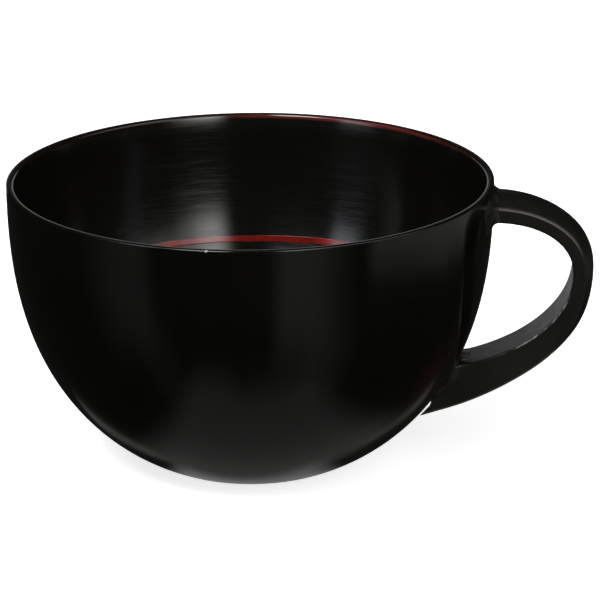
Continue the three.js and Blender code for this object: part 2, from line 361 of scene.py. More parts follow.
class Nodes:
    """Adds nodes to one tree. An input is a value, or another node's output."""

    def __init__(self, tree):
        self.tree = tree
        tree.nodes.clear()

    def add(self, kind, inputs=None, **settings):
        """A node with its settings, and its inputs set or linked."""
        node = self.tree.nodes.new(kind)
        for key, value in settings.items():
            setattr(node, key, value)
        for key, value in (inputs or {}).items():
            if isinstance(value, bpy.types.NodeSocket):
                self.tree.links.new(value, node.inputs[key])
            else:
                node.inputs[key].default_value = value
        return node

    def value(self, name):
        """A value that the mesh carries at its points."""
        return self.add("ShaderNodeAttribute", attribute_name=name).outputs["Fac"]

    def math(self, operation, a, b=0.0):
        """One operation on one or two numbers."""
        return self.add("ShaderNodeMath", {0: a, 1: b}, operation=operation).outputs[0]

    def vector(self, operation, inputs, output=0):
        """One operation on vectors."""
        return self.add("ShaderNodeVectorMath", inputs, operation=operation).outputs[output]

    def blend(self, first, share, second):
        """A share of the first number and the rest of the second."""
        return self.add_share(self.math("MULTIPLY", first, share), second, 1 - share)

    def add_share(self, number, other, share):
        """A number and a share of another."""
        return self.math("ADD", number, self.math("MULTIPLY", other, share))

    def remap(self, value, low, high, to_low=0.0, to_high=1.0):
        """A smooth rise from to_low at low to to_high at high."""
        inputs = {"Value": value, "From Min": low, "From Max": high, "To Min": to_low, "To Max": to_high}
        node = self.add("ShaderNodeMapRange", inputs, interpolation_type="SMOOTHSTEP")
        return node.outputs["Result"]

    def mix(self, share, first, second):
        """A colour between two."""
        node = self.add("ShaderNodeMix", {0: share, 6: first, 7: second}, data_type="RGBA")
        return node.outputs[2]

    def place(self, scale=(1, 1, 1)):
        """Object coordinates, stretched."""
        coordinates = self.add("ShaderNodeTexCoord").outputs["Object"]
        return self.add("ShaderNodeMapping", {"Vector": coordinates, "Scale": scale}).outputs["Vector"]

    def noise(self, vector, scale, detail=3.0, roughness=0.55):
        """Soft noise over the coordinates."""
        inputs = {"Vector": vector, "Scale": scale, "Detail": detail, "Roughness": roughness}
        return self.add("ShaderNodeTexNoise", inputs).outputs["Fac"]

    def around(self, turns, run_scale):
        """Coordinates that run round the bowl's axis and along its profile, for marks left by turning."""
        position = self.add("ShaderNodeTexCoord").outputs["Object"]
        level = self.vector("MULTIPLY", {0: position, 1: (1, 1, 0)})
        unit = self.vector("NORMALIZE", {0: level})
        ring = self.vector("SCALE", {0: unit, "Scale": turns})
        run = self.math("MULTIPLY", self.value("run"), run_scale)
        rise = self.add("ShaderNodeCombineXYZ", {"Z": run}).outputs[0]
        return self.vector("ADD", {0: ring, 1: rise})

    def grain(self, along, across, through):
        """Coordinates along, across and through the handle's strip, each stretched."""
        scales = {"along": along, "across": across, "through": through}
        x, y, z = (self.math("MULTIPLY", self.value(key), scale) for key, scale in scales.items())
        return self.add("ShaderNodeCombineXYZ", {"X": x, "Y": y, "Z": z}).outputs[0]

    def ramp(self, value, edges):
        """1 between the middle two of four values, and a fade to 0 at the outer two."""
        rise = self.remap(value, edges[0], edges[1])
        fall = self.remap(value, edges[2], edges[3], 1.0, 0.0)
        return self.math("MULTIPLY", rise, fall)

    def window(self, first, first_edges, second, second_edges):
        """1 where both values are between the middle two of their edges."""
        return self.math("MULTIPLY", self.ramp(first, first_edges), self.ramp(second, second_edges))

    def specks(self, vector, scale, size):
        """Small scattered dots."""
        node = self.add("ShaderNodeTexVoronoi", {"Vector": vector, "Scale": scale}, feature="F1")
        return self.remap(node.outputs["Distance"], size, size * 0.4)

    def close_to(self, point, size):
        """1 at the point and 0 from the given distance on."""
        away = self.vector("DISTANCE", {0: self.place(), 1: point}, "Value")
        return self.remap(away, size, size * 0.5)

    def bump(self, height, strength, distance, normal=None):
        """A normal that shows a height, on top of another normal if there is one."""
        inputs = {"Height": height, "Strength": strength, "Distance": distance}
        if normal is not None:
            inputs["Normal"] = normal
        return self.add("ShaderNodeBump", inputs).outputs["Normal"]

    def surface(self, **inputs):
        """A principled surface as the material's result."""
        named = {}
        for key, value in inputs.items():
            named[key.replace("_", " ").title().replace("Ior", "IOR")] = value
        shader = self.add("ShaderNodeBsdfPrincipled", named)
        self.add("ShaderNodeOutputMaterial", {"Surface": shader.outputs[0]})

    def seen(self):
        """1 for rays that the camera sees straight or through something clear."""
        path = self.add("ShaderNodeLightPath")
        return self.math("MAXIMUM", path.outputs["Is Camera Ray"], path.outputs["Is Transmission Ray"])

    def mirrored_light(self, strength):
        """A clear sheet that shines in mirrors alone."""
        glossy = self.add("ShaderNodeLightPath").outputs["Is Glossy Ray"]
        inputs = {"Color": WHITE, "Strength": self.math("MULTIPLY", glossy, strength)}
        shine = self.add("ShaderNodeEmission", inputs)
        clear = self.add("ShaderNodeBsdfTransparent")
        return self.add("ShaderNodeAddShader", {0: clear.outputs[0], 1: shine.outputs[0]}).outputs[0]


def new_material(name):
    """An empty material, and the nodes to fill it with."""
    material = bpy.data.materials.new(name)
    material.use_nodes = True
    return material, Nodes(material.node_tree)


def bowl_lacquer():
    """Glossy black lacquer with turning marks, a few specks of dust and a lip worn through to red."""
    material, n = new_material("bowl_black_lacquer")
    spot = n.place()
    inside = n.value("inside")
    lip_wear = n.value("lip_wear")
    cloud = n.noise(spot, 45.0)
    marks = n.noise(n.around(5.0, 2600.0), 1.0, 4.0, 0.6)
    brushed = n.noise(n.around(7.0, 2100.0), 1.0, 3.0, 0.6)

    dusty = n.remap(n.noise(spot, 60.0), 0.55, 0.70)
    dust = n.math("MULTIPLY", n.specks(spot, 330.0, 0.045), dusty)
    wear_noise = n.noise(n.around(9.0, 900.0), 1.0, 5.0, 0.65)
    wear = n.remap(n.add_share(lip_wear, wear_noise, 0.55), 0.46, 1.20)
    patchy = n.remap(n.noise(spot, 90.0, 4.0), 0.28, 0.60, 0.06, 0.36)
    red_tint = n.math("MULTIPLY", n.value("thin_coat"), patchy)
    nick_place = round_point(RIM_RADIUS - NICK_DEPTH, NICK_ANGLE, BOWL_HEIGHT - NICK_DEPTH)
    colour = n.mix(n.remap(cloud, 0.35, 0.65), BLACK, WARM_BLACK)
    # A slightly paler black inside the bowl
    colour = n.mix(inside, colour, PALE_INSIDE_BLACK)
    colour = n.mix(red_tint, colour, DARK_RED)
    colour = n.mix(n.math("MULTIPLY", dust, 0.6), colour, DUST)
    colour = n.mix(wear, colour, WORN_RED)
    # The nick is pale grey, partly chipped ground and partly a painted glint
    colour = n.mix(n.close_to(nick_place, NICK_SIZE), colour, NICK_GREY_AND_GLINT)

    rough = n.remap(n.blend(marks, 0.6, cloud), 0.3, 0.7, 0.115, 0.165)
    rough = n.add_share(rough, lip_wear, -0.095)
    scuffs_and_painted_glint = n.math("MULTIPLY", n.remap(brushed, 0.42, 0.66), inside)
    rough = n.add_share(rough, scuffs_and_painted_glint, 0.05)

    inner_marks = n.bump(n.math("MULTIPLY", brushed, inside), 0.40, 0.016 * MM)
    fine = n.bump(marks, 0.05, 0.02 * MM, inner_marks)
    waves = n.bump(n.noise(n.around(3.0, 160.0), 1.0, 2.0), 0.05, 0.25 * MM, fine)
    round_way = n.add("ShaderNodeTangent", direction_type="RADIAL", axis="Z").outputs[0]
    n.surface(base_color=colour, roughness=rough, normal=waves, ior=LACQUER_IOR, tangent=round_way,
              anisotropic=0.75, anisotropic_rotation=0.25)
    return material


def handle_lacquer():
    """Satin black lacquer over sawn wood, brush marks along the strip, worn brown edges, painted glints."""
    material, n = new_material("handle_black_lacquer")
    spot = n.place()
    strokes = n.noise(n.grain(120.0, 1500.0, 1500.0), 1.0, 4.0, 0.6)
    rasp = n.noise(n.grain(800.0, 2200.0, 0.0), 1.0, 3.0, 0.6)
    mottle = n.noise(spot, 420.0, 4.0, 0.6)
    cloud = n.noise(spot, 70.0)

    # Edges worn to brown; on the upper arm's outer edge this brown is partly a painted highlight
    wear = n.remap(n.add_share(n.value("edge_wear_and_highlight"), cloud, 0.6), 0.80, 1.15)
    # Pale grey along the inner front edge is a painted glint, patchy with the mottle
    scuffs_and_painted_glint = n.math("MULTIPLY", n.value("painted_glint"), n.remap(mottle, 0.40, 0.62))
    colour = n.mix(n.remap(cloud, 0.35, 0.65), SATIN_BLACK, SATIN_GREY)
    colour = n.mix(n.value("flank"), colour, FLANK_GREY)
    colour = n.mix(wear, colour, WORN_BROWN_AND_HIGHLIGHT)
    colour = n.mix(scuffs_and_painted_glint, colour, PAINTED_GLINT_GREY)

    rough = n.remap(n.blend(strokes, 0.5, mottle), 0.3, 0.7, 0.34, 0.48)
    fine = n.bump(strokes, 0.12, 0.03 * MM)
    uneven = n.math("MULTIPLY", n.add_share(rasp, mottle, 0.5), n.value("inner_face"))
    rough_sawn = n.bump(uneven, 0.75, 0.16 * MM, fine)
    lumps = n.bump(mottle, 0.05, 0.04 * MM, rough_sawn)
    n.surface(base_color=colour, roughness=rough, normal=lumps, ior=LACQUER_IOR)
    return material


def putty_lacquer():
    """Dull lumpy putty under a thin black coat."""
    material, n = new_material("joint_putty")
    spot = n.place()
    lumps = n.noise(spot, 900.0, 4.0, 0.6)
    cloud = n.noise(spot, 260.0)
    colour = n.mix(n.remap(cloud, 0.38, 0.62), BLACK, PUTTY_GREY)
    rough = n.remap(lumps, 0.3, 0.7, 0.34, 0.52)
    n.surface(base_color=colour, roughness=rough, normal=n.bump(lumps, 0.3, 0.12 * MM), ior=LACQUER_IOR)
    return material


def red_lacquer():
    """Vermilion lacquer brushed on as the bowl turned, thin and dark towards its edges."""
    material, n = new_material("vermilion_lacquer")
    strokes = n.noise(n.around(14.0, 2400.0), 1.0, 4.0, 0.6)
    patches = n.noise(n.place(), 130.0)
    thin = n.remap(n.add_share(n.value("band_edge"), strokes, 0.5), 0.85, 1.25)
    colour = n.mix(n.remap(patches, 0.35, 0.7), VERMILION, DEEP_VERMILION)
    colour = n.mix(n.math("MULTIPLY", thin, 0.7), colour, DARK_RED)
    rough = n.remap(strokes, 0.3, 0.7, 0.10, 0.18)
    n.surface(base_color=colour, roughness=rough, normal=n.bump(strokes, 0.15, 0.03 * MM), ior=LACQUER_IOR)
    return material


def bare_bamboo():
    """Split bamboo with fine dark fibres along the pin."""
    material, n = new_material("bare_bamboo")
    fibres = n.noise(n.place((200.0, 4000.0, 4000.0)), 1.0)
    colour = n.mix(n.remap(fibres, 0.35, 0.65), BAMBOO, BAMBOO_FIBRE)
    rough = n.remap(fibres, 0.3, 0.7, 0.45, 0.65)
    n.surface(base_color=colour, roughness=rough, normal=n.bump(fibres, 0.3, 0.05 * MM))
    return material


def bowl_profile():
    """Radius and height from the middle of the foot up the outside, over the lip and down inside."""
    outside = side_heights(OUTER_DEPTH, BOWL_HEIGHT - LIP_LINE[0, 1], BOWL_HEIGHT - FOOT_EDGE)[::-1]
    flare = np.linspace(INNER_EDGE_HEIGHT, BOWL_HEIGHT - LIP_FLARE_DEPTH, FLARE_STEPS)
    below = side_heights(INNER_DEPTH, LIP_FLARE_DEPTH, INNER_DEPTH)
    inside = np.concatenate([flare[1:], below[1:-1]])
    rows = [(radius, 0.0) for radius in np.linspace(0, FOOT_RADIUS - FOOT_EDGE, FOOT_STEPS)]
    rows += list(zip(outer_radius(outside), outside))
    rows += [tuple(point) for point in LIP_LINE[1:]]
    rows += list(zip(inner_radius(inside), inside))
    rows.append((0.0, BASE_THICKNESS))
    return np.array(rows)


def make_bowl(material):
    """The turned bowl. Its points know how far along the profile they are, and how worn or thinly coated."""
    profile = bowl_profile()
    steps = np.linalg.norm(np.diff(profile, axis=0), axis=1)
    run = np.concatenate([[0], np.cumsum(steps)])
    from_crest = run - run[np.argmax(profile[:, 1])]
    wear_width = np.where(from_crest > WEAR_CENTRE, WEAR_INWARDS, WEAR_OUTWARDS)
    wear = hump(from_crest, WEAR_CENTRE, wear_width)
    inside = smooth_step(INSIDE_START, INSIDE_FULL, from_crest)
    thin_spot = round_point(outer_radius(THIN_HEIGHT), THIN_ANGLE, THIN_HEIGHT)
    points = [(0, 0, profile[0, 1]), (0, 0, profile[-1, 1])]
    values = {"run": [run[0], run[-1]], "lip_wear": [0, 0], "thin_coat": [0, 0], "inside": [0, 1]}
    rings = len(profile) - 2
    for i in range(ROUND_STEPS):
        angle = i * 2 * math.pi / ROUND_STEPS
        # The lip is worn most at the back and towards the handle.
        turn = math.remainder(angle - WEAR_ANGLE, 2 * math.pi)
        side = WEAR_LEAST + (1 - WEAR_LEAST) * hump(turn, 0, WEAR_SPREAD)
        for k in range(1, rings + 1):
            radius, height = profile[k]
            point = round_point(radius, angle, height)
            thin = 1 - smooth_step(THIN_FULL, THIN_REACH, (point - thin_spot).length)
            points.append(point)
            values["run"].append(run[k])
            values["lip_wear"].append(wear[k] * side)
            values["inside"].append(inside[k])
            values["thin_coat"].append((1 - inside[k]) * thin)
    faces = []
    for i in range(ROUND_STEPS):
        here = 2 + i * rings
        there = 2 + ((i + 1) % ROUND_STEPS) * rings
        faces.append((0, there, here))
        faces += [(here + k, there + k, there + k + 1, here + k + 1) for k in range(rings - 1)]
        faces.append((1, here + rings - 1, there + rings - 1))
    return make_piece("lacquered_bowl", points, faces, material, "bowl_body", values)


def make_band(material):
    """The red ring, a thin brushed film on the inner wall whose edges wander a little."""
    points = []
    values = {"run": [], "band_edge": []}
    for i in range(BAND_STEPS):
        angle = 2 * math.pi * i / BAND_STEPS
        spot = round_point(1, angle, 0) * BAND_WAVES
        top = BAND_TOP + BAND_WANDER * lumpy(spot, spot * 4)
        bottom = BAND_BOTTOM + BAND_WANDER * lumpy(spot + Vector((0, 0, 7)), spot * 5)
        for share in BAND_ROWS:
            height = bottom + (top - bottom) * share
            proud = BAND_PROUD if 0 < share < 1 else -BAND_PROUD
            points.append(round_point(inner_radius(height) - proud, angle, height))
            values["run"].append(height)
            values["band_edge"].append(abs(2 * share - 1) ** 3)
        middle = (top + bottom) / 2
        points.append(round_point(inner_radius(middle) + BAND_BACK, angle, middle))
        values["run"].append(bottom)
        values["band_edge"].append(1)
    faces = tube_faces(BAND_STEPS, len(BAND_ROWS) + 1, True)
    return make_piece("red_ring", points, faces, material, "vermilion_band", values)


def upper_joint():
    """Where the handle's middle line meets the wall at the top, and its way out."""
    return Vector((outer_radius(HANDLE_TOP_HEIGHT), 0, HANDLE_TOP_HEIGHT)), Vector((1, 0, 0))


def lower_joint():
    """Where the handle's middle line meets the wall at the bottom, and its way out."""
    point = Vector((outer_radius(HANDLE_LOW_HEIGHT), 0, HANDLE_LOW_HEIGHT))
    return point, Vector((math.cos(LOWER_ARM_SLOPE), 0, math.sin(LOWER_ARM_SLOPE)))


def bezier(a, b, c, d, count):
    """Points on a curve from a to d that b and c pull at."""
    shares = np.linspace(0, 1, count)[:, None]
    rest = 1 - shares
    a, b, c, d = (np.array(p) for p in (a, b, c, d))
    return rest**3 * a + 3 * rest**2 * shares * b + 3 * rest * shares**2 * c + shares**3 * d


def handle_line():
    """Points along the handle's middle line, from inside the wall at the top to beyond the lower joint."""
    top, top_way = upper_joint()
    low, low_way = lower_joint()
    bulge = Vector((RIM_RADIUS + HANDLE_REACH, 0, HANDLE_BULGE_HEIGHT))
    up = Vector((0, 0, 1))
    head = np.array([top - top_way * 2 * LIP_THICKNESS])
    first = bezier(top, top + top_way * TOP_PULL, bulge + up * BULGE_PULL_UP, bulge, UPPER_ARM_STEPS)
    second = bezier(bulge, bulge - up * BULGE_PULL_DOWN, low + low_way * LOW_PULL, low, LOWER_ARM_STEPS)
    tail = np.array([low - low_way * 2 * LOWER_TIP_LENGTH])
    return np.concatenate([head, first, second[1:], tail])


def arc(centre, radius, start, end, steps):
    """Points on an arc of the section, and the ways out of it."""
    angles = np.radians(np.linspace(start, end, steps + 1))
    ways = np.stack([np.cos(angles), np.sin(angles)], axis=1)
    return np.array(centre) + radius * ways, ways


def flat(start, end, way, steps):
    """Points between the ends of a flat side, and the way out of it."""
    shares = np.linspace(0, 1, steps + 1)[1:-1, None]
    return (1 - shares) * np.array(start) + shares * np.array(end), np.tile(way, (steps - 1, 1))


def crowned(outside, end, rise, steps):
    """Points over the crowned outer face, from one end across to the other, and the ways out of it."""
    across = np.linspace(end, -end, steps + 1)[1:-1]
    points = np.stack([-outside - rise * (1 - (across / end) ** 2), across], axis=1)
    slopes = 2 * rise * across / end**2
    ways = np.stack([-np.ones_like(slopes), slopes], axis=1)
    return points, ways / np.linalg.norm(ways, axis=1)[:, None]


def strip_section(share):
    """Outline across the strip, the ways out of it, and how deep each point is, from inner to outer face.

    The outline starts at the front edge inside and goes round by the back. Of its two numbers, the first
    points into the finger gap and the second to the back.
    """
    middle = (HANDLE_TOP_THICKNESS + (HANDLE_LOW_THICKNESS - HANDLE_TOP_THICKNESS) * share**2) / 2
    inside = middle + UPPER_FILL * (1 - smooth_step(*UPPER_FILL_END, share))
    outside = middle - BULGE_TRIM * hump(share, BULGE_SHARE, BULGE_SPREAD)
    outside += ROOT_FILL * (1 - smooth_step(*ROOT_FILL_END, share))
    outside += LOWER_FILL * smooth_step(*LOWER_FILL_START, share)
    half = (HANDLE_TOP_WIDTH + (HANDLE_LOW_WIDTH - HANDLE_TOP_WIDTH) * share) / 2
    tilt = math.atan(2 * HANDLE_CROWN / half)
    inner_edge = inside - INNER_EDGE_RADIUS
    outer_edge = OUTER_EDGE_RADIUS - outside
    crown_foot = outside - OUTER_EDGE_RADIUS * (1 - math.cos(tilt))
    crown_end = half - OUTER_EDGE_RADIUS * (1 - math.sin(tilt))
    turn = math.degrees(tilt)
    sides = [
        arc((inner_edge, INNER_EDGE_RADIUS - half), INNER_EDGE_RADIUS, -90, 0, EDGE_STEPS),
        flat((inside, INNER_EDGE_RADIUS - half), (inside, half - INNER_EDGE_RADIUS), (1, 0), FACE_STEPS),
        arc((inner_edge, half - INNER_EDGE_RADIUS), INNER_EDGE_RADIUS, 0, 90, EDGE_STEPS),
        flat((inner_edge, half), (outer_edge, half), (0, 1), FLANK_STEPS),
        arc((outer_edge, half - OUTER_EDGE_RADIUS), OUTER_EDGE_RADIUS, 90, 180 - turn, EDGE_STEPS),
        crowned(crown_foot, crown_end, HANDLE_CROWN, FACE_STEPS),
        arc((outer_edge, OUTER_EDGE_RADIUS - half), OUTER_EDGE_RADIUS, 180 + turn, 270, EDGE_STEPS),
        flat((outer_edge, -half), (inner_edge, -half), (0, -1), FLANK_STEPS),
    ]
    points = np.concatenate([side[0] for side in sides])
    ways = np.concatenate([side[1] for side in sides])
    return points, ways, (inside - points[:, 0]) / (inside + outside)


class Strip:
    """The handle's skin as lines that run along it, walked by shares of its length from joint to joint."""

    def __init__(self):
        line = handle_line()
        steps = np.linalg.norm(np.diff(line, axis=0), axis=1)
        places = np.concatenate([[0], np.cumsum(steps)])
        start = LIP_THICKNESS
        self.length = places[-1] - start - LOWER_TIP_LENGTH
        at = start + STRIP_SHARES * self.length
        middle = np.stack([np.interp(at, places, line[:, axis]) for axis in range(3)], axis=1)
        along = np.gradient(middle, axis=0)
        along /= np.linalg.norm(along, axis=1)[:, None]
        across = np.array((0, 1, 0))
        points = []
        ways_out = []
        for share, centre, inner in zip(STRIP_SHARES, middle, np.cross(across, along)):
            section, ways, depth = strip_section(share)
            points.append(centre + section[:, :1] * inner + section[:, 1:] * across)
            ways_out.append(ways[:, :1] * inner + ways[:, 1:] * across)
        self.points = np.array(points)
        self.ways = np.array(ways_out)
        # The ways and depths of the last section, beyond the lower joint, serve for the whole strip.
        self.section_ways = ways
        self.depth = depth
        self.count = len(depth)

    def at(self, line, share):
        """A point on one line of the skin, and the way out of it."""
        numbers = (self.points[:, line], self.ways[:, line])
        return [Vector([np.interp(share, STRIP_SHARES, n[:, axis]) for axis in range(3)]) for n in numbers]

    def meet_wall(self, gaps, upper):
        """Share at which each line is its gap away from the bowl, at the upper or the lower joint."""
        x, y, z = np.moveaxis(self.points, -1, 0)
        clear = np.hypot(x, y) - outer_radius(z) - gaps
        near = STRIP_SHARES < UPPER_PART_END if upper else STRIP_SHARES > LOWER_PART_START
        sign = 1 if upper else -1
        return [np.interp(0, sign * clear[near, line], STRIP_SHARES[near]) for line in range(self.count)]


def tongue_gaps(strip):
    """How far each line of the strip ends from the wall at the lower joint. Below 0 it is let in."""
    across = strip.points[-1, :, 1]
    to_back = 0.5 + 0.5 * across / across.max()
    gaps = SLIT_WIDTH * smooth_step(*SLIT_START, strip.depth) - LOWER_LET_IN
    gaps -= SLIT_TIP_CLOSING * smooth_step(*SLIT_TIP, strip.depth)
    gaps += SLIT_SLANT * to_back * smooth_step(*SLANT_START, strip.depth)
    return gaps


def end_faces(count, ring, turned):
    """Rungs from front to back that close an end of the strip, from its inner face to its outer face."""
    centre = EDGE_STEPS + FACE_STEPS // 2
    faces = []
    for k in range(count // 2):
        corners = (centre - k - 1, centre - k, centre + k, centre + k + 1)
        rung = tuple(dict.fromkeys(ring + line % count for line in corners))
        faces.append(rung[::-1] if turned else rung)
    return faces


def make_handle(material, strip):
    """The strip from wall to wall, with worn edges. Its tongue stands off the wall below the lower joint."""
    top = strip.meet_wall(np.full(strip.count, -UPPER_LET_IN), True)
    low = strip.meet_wall(tongue_gaps(strip), False)
    inner, across = strip.section_ways.T
    side = np.abs(across)
    faces_in = inner > 0.01
    faces_out = inner < -0.01
    on_edge_line = hump(side, *EDGE_LINE_SIDE) * faces_out
    on_rubbed_edge = hump(side, *EDGE_RUB_SIDE) * faces_out
    on_tongue = hump(strip.depth, *TONGUE_WEAR_DEPTH) * (side > 0.9)
    on_inner_edge = hump(side, *INNER_EDGE_SIDE) * faces_in
    on_inner_front = on_inner_edge * (across < 0)
    points = []
    names = ("along", "across", "through", "edge_wear_and_highlight", "inner_face", "flank", "painted_glint")
    values = {name: [] for name in names}
    for step in range(HANDLE_STEPS + 1):
        for line in range(strip.count):
            share = top[line] + (low[line] - top[line]) * step / HANDLE_STEPS
            point, _ = strip.at(line, share)
            points.append(point)
            # The outer edge is worn in a thin line on the upper arm and rubbed more broadly below the bulge.
            # That thin line on the upper arm is partly a painted highlight in the brown of worn edges.
            thin_line = 1 - EDGE_LINE_LOSS * smooth_step(*EDGE_LINE_END, share)
            rubbed = EDGE_RUB * smooth_step(*EDGE_RUB_START, share)
            by_tongue = smooth_step(*TONGUE_WEAR_START, share) - smooth_step(*TONGUE_WEAR_END, share)
            wear = (
                on_edge_line[line] * thin_line,
                on_rubbed_edge[line] * rubbed,
                on_tongue[line] * TONGUE_WEAR * by_tongue,
                on_inner_edge[line] * INNER_EDGE_WEAR,
            )
            # A painted glint on the inner front edge comes and goes over part of the length
            scuffs_and_painted_glint = smooth_step(*GLINT_START, share) - smooth_step(*GLINT_END, share)
            pale = PALE_FLANK_LEAST + (1 - PALE_FLANK_LEAST) * smooth_step(*PALE_FLANK_START, share)
            values["along"].append(share * strip.length)
            values["across"].append(point.y)
            values["through"].append(strip.depth[line] * THROUGH_LENGTH)
            values["edge_wear_and_highlight"].append(max(wear))
            values["inner_face"].append(max(0.0, inner[line]) ** 4 * smooth_step(*RASP_START, share))
            values["flank"].append(side[line] ** 8 * pale)
            values["painted_glint"].append(on_inner_front[line] * scuffs_and_painted_glint)
    faces = tube_faces(HANDLE_STEPS + 1, strip.count, False)
    faces += end_faces(strip.count, 0, True)
    faces += end_faces(strip.count, HANDLE_STEPS * strip.count, False)
    return make_piece("sawn_handle", points, faces, material, "handle", values)


@dataclass
class Bead:
    """How putty is laid on a joint: its legs on wall and strip, film, lumps, and taper towards the strip."""

    upper: bool
    legs: Callable
    film: float
    lumps: float
    taper: float
    seed: int


def upper_legs(way):
    """Putty at the upper joint: smeared out over the wall at the sides, a small fillet above and below."""
    side = abs(way[1])
    return (0.6 + 5.9 * side**2) * MM, (0.9 + 1.4 * side) * MM


def lower_legs(way):
    """Putty at the lower joint: a film over the inner face and smears down the sides."""
    side = abs(way[1])
    return (1.0 + 0.4 * side) * MM, (4.4 - 1.2 * side) * MM


UPPER_BEAD = Bead(upper=True, legs=upper_legs, film=0.20 * MM, lumps=0.26 * MM, taper=0.5, seed=3)
LOWER_BEAD = Bead(upper=False, legs=lower_legs, film=0.06 * MM, lumps=0.34 * MM, taper=1.3, seed=11)


def lower_putty_lines(strip):
    """Lines under the lower putty in order round the section: front side, inner face and back side.

    The very first line, between the front side and the rounded inner edge, is left out.
    """
    covered = [line for line in range(strip.count) if strip.depth[line] < LOWER_PUTTY_DEPTH]
    front = [line for line in covered if strip.section_ways[line, 1] < -0.99]
    return front[1:] + [line for line in covered if line not in front]


def on_the_wall(point):
    """The point moved in or out to the outside of the bowl at its height."""
    level = Vector((point.x, point.y, 0))
    return level.normalized() * float(outer_radius(point.z)) + Vector((0, 0, point.z))


def wall_way(point):
    """The way out of the bowl's outside at a point."""
    radial = Vector((point.x, point.y, 0)).normalized()
    slope = float(outer_radius(point.z + MM) - outer_radius(point.z - MM)) / (2 * MM)
    return (radial - Vector((0, 0, slope))).normalized()


def make_putty(name, node, material, strip, lines, bead):
    """Putty along lines of the strip where it meets the wall, with legs and lumps that vary."""
    ends = strip.meet_wall(np.zeros(strip.count), bead.upper)
    shift = Vector((bead.seed, 2 * bead.seed, 0))
    outward = 1 if bead.upper else -1
    points = []
    for line in lines:
        corner, out = strip.at(line, ends[line])
        wall_out = wall_way(corner)
        on_wall = (out - wall_out * out.dot(wall_out)).normalized()
        vary = PUTTY_VARY * noise.noise(corner * PUTTY_VARY_SCALE + shift)
        wall_leg, strip_leg = bead.legs(strip.section_ways[line])
        wall_leg *= 1 + vary
        strip_leg *= 1 - vary
        for share in np.linspace(0, 1, PUTTY_STEPS + 1):
            up_wall = on_the_wall(corner + on_wall * wall_leg * (1 - share) ** PUTTY_CURVE)
            strip_place = ends[line] + outward * strip_leg * share**PUTTY_CURVE / strip.length
            up_strip, strip_out = strip.at(line, strip_place)
            point = up_wall + up_strip - corner
            lump = lumpy(point * PUTTY_LUMP_SCALE + shift, point * PUTTY_GRAIN_SCALE + shift)
            rise = bead.film + bead.lumps * max(0.0, PUTTY_LUMP_LEVEL + PUTTY_LUMP_GAIN * lump)
            swell = math.sin(math.pi * share) ** (PUTTY_WALL_TAPER if share < 0.5 else bead.taper)
            buried = PUTTY_END_BURIED * abs(2 * share - 1) ** 8
            way = wall_out.lerp(strip_out, float(smooth_step(*PUTTY_TURN, share))).normalized()
            points.append(point + way * (rise * swell - buried))
        tip, tip_out = strip.at(line, ends[line] + outward * strip_leg / strip.length)
        points.append(tip - tip_out * PUTTY_SUNK)
        points.append(corner - out * PUTTY_SUNK - wall_out * PUTTY_SUNK)
        points.append(on_the_wall(corner + on_wall * wall_leg) - wall_out * PUTTY_SUNK)
    size = PUTTY_STEPS + 4
    closed = len(lines) == strip.count
    faces = tube_faces(len(lines), size, closed)
    if not closed:
        faces.append(tuple(reversed(range(size))))
        faces.append(tuple(range((len(lines) - 1) * size, len(lines) * size)))
    return make_piece(name, points, faces, material, node)


def make_stage(name, corners, material):
    """A flat sheet of the studio."""
    mesh = bpy.data.meshes.new(name)
    mesh.from_pydata(corners, [], [(0, 1, 2, 3)])
    mesh.materials.append(material)
    sheet = bpy.data.objects.new(name, mesh)
    bpy.context.scene.collection.objects.link(sheet)


def make_floor():
    """A floor that the camera sees as white, with the bowl's faint shadow.

    The lacquer mirrors the white of it by the foot and behind the bowl. Other rays pass into the dim studio.
    """
    material, n = new_material("white_floor")
    pale = n.add("ShaderNodeBsdfDiffuse", {"Color": FLOOR_GREY})
    glow = n.add("ShaderNodeEmission", {"Color": WHITE, "Strength": FLOOR_GLOW})
    white = n.add("ShaderNodeAddShader", {0: pale.outputs[0], 1: glow.outputs[0]})
    x, y, _ = n.add("ShaderNodeSeparateXYZ", {0: n.add("ShaderNodeTexCoord").outputs["Object"]}).outputs
    by_the_foot = n.math("MULTIPLY", n.window(x, FOOT_PATCH_X, y, FOOT_PATCH_Y), FOOT_PATCH_LIGHT)
    behind = n.math("MULTIPLY", n.window(x, BACK_PATCH_X, y, BACK_PATCH_Y), BACK_PATCH_LIGHT)
    mirrored = n.mirrored_light(n.math("ADD", by_the_foot, behind))
    result = n.add("ShaderNodeMixShader", {0: n.seen(), 1: mirrored, 2: white.outputs[0]})
    n.add("ShaderNodeOutputMaterial", {"Surface": result.outputs[0]})
    reach = FLOOR_REACH
    corners = [(-reach, -reach, 0), (reach, -reach, 0), (reach, reach, 0), (-reach, reach, 0)]
    make_stage("floor", corners, material)


def make_backdrop():
    """A white card behind the bowl that only the lacquer mirrors. It fades upwards."""
    material, n = new_material("white_card")
    x, _, z = n.add("ShaderNodeSeparateXYZ", {0: n.add("ShaderNodeTexCoord").outputs["Object"]}).outputs
    light = n.math("MULTIPLY", n.window(x, CARD_PATCH_X, z, CARD_PATCH_Z), CARD_LIGHT)
    n.add("ShaderNodeOutputMaterial", {"Surface": n.mirrored_light(light)})
    bottom = [(CARD_LEFT, CARD_BEHIND, 0), (CARD_RIGHT, CARD_BEHIND, 0)]
    top = [(CARD_RIGHT, CARD_BEHIND, CARD_TOP), (CARD_LEFT, CARD_BEHIND, CARD_TOP)]
    make_stage("backdrop", bottom + top, material)


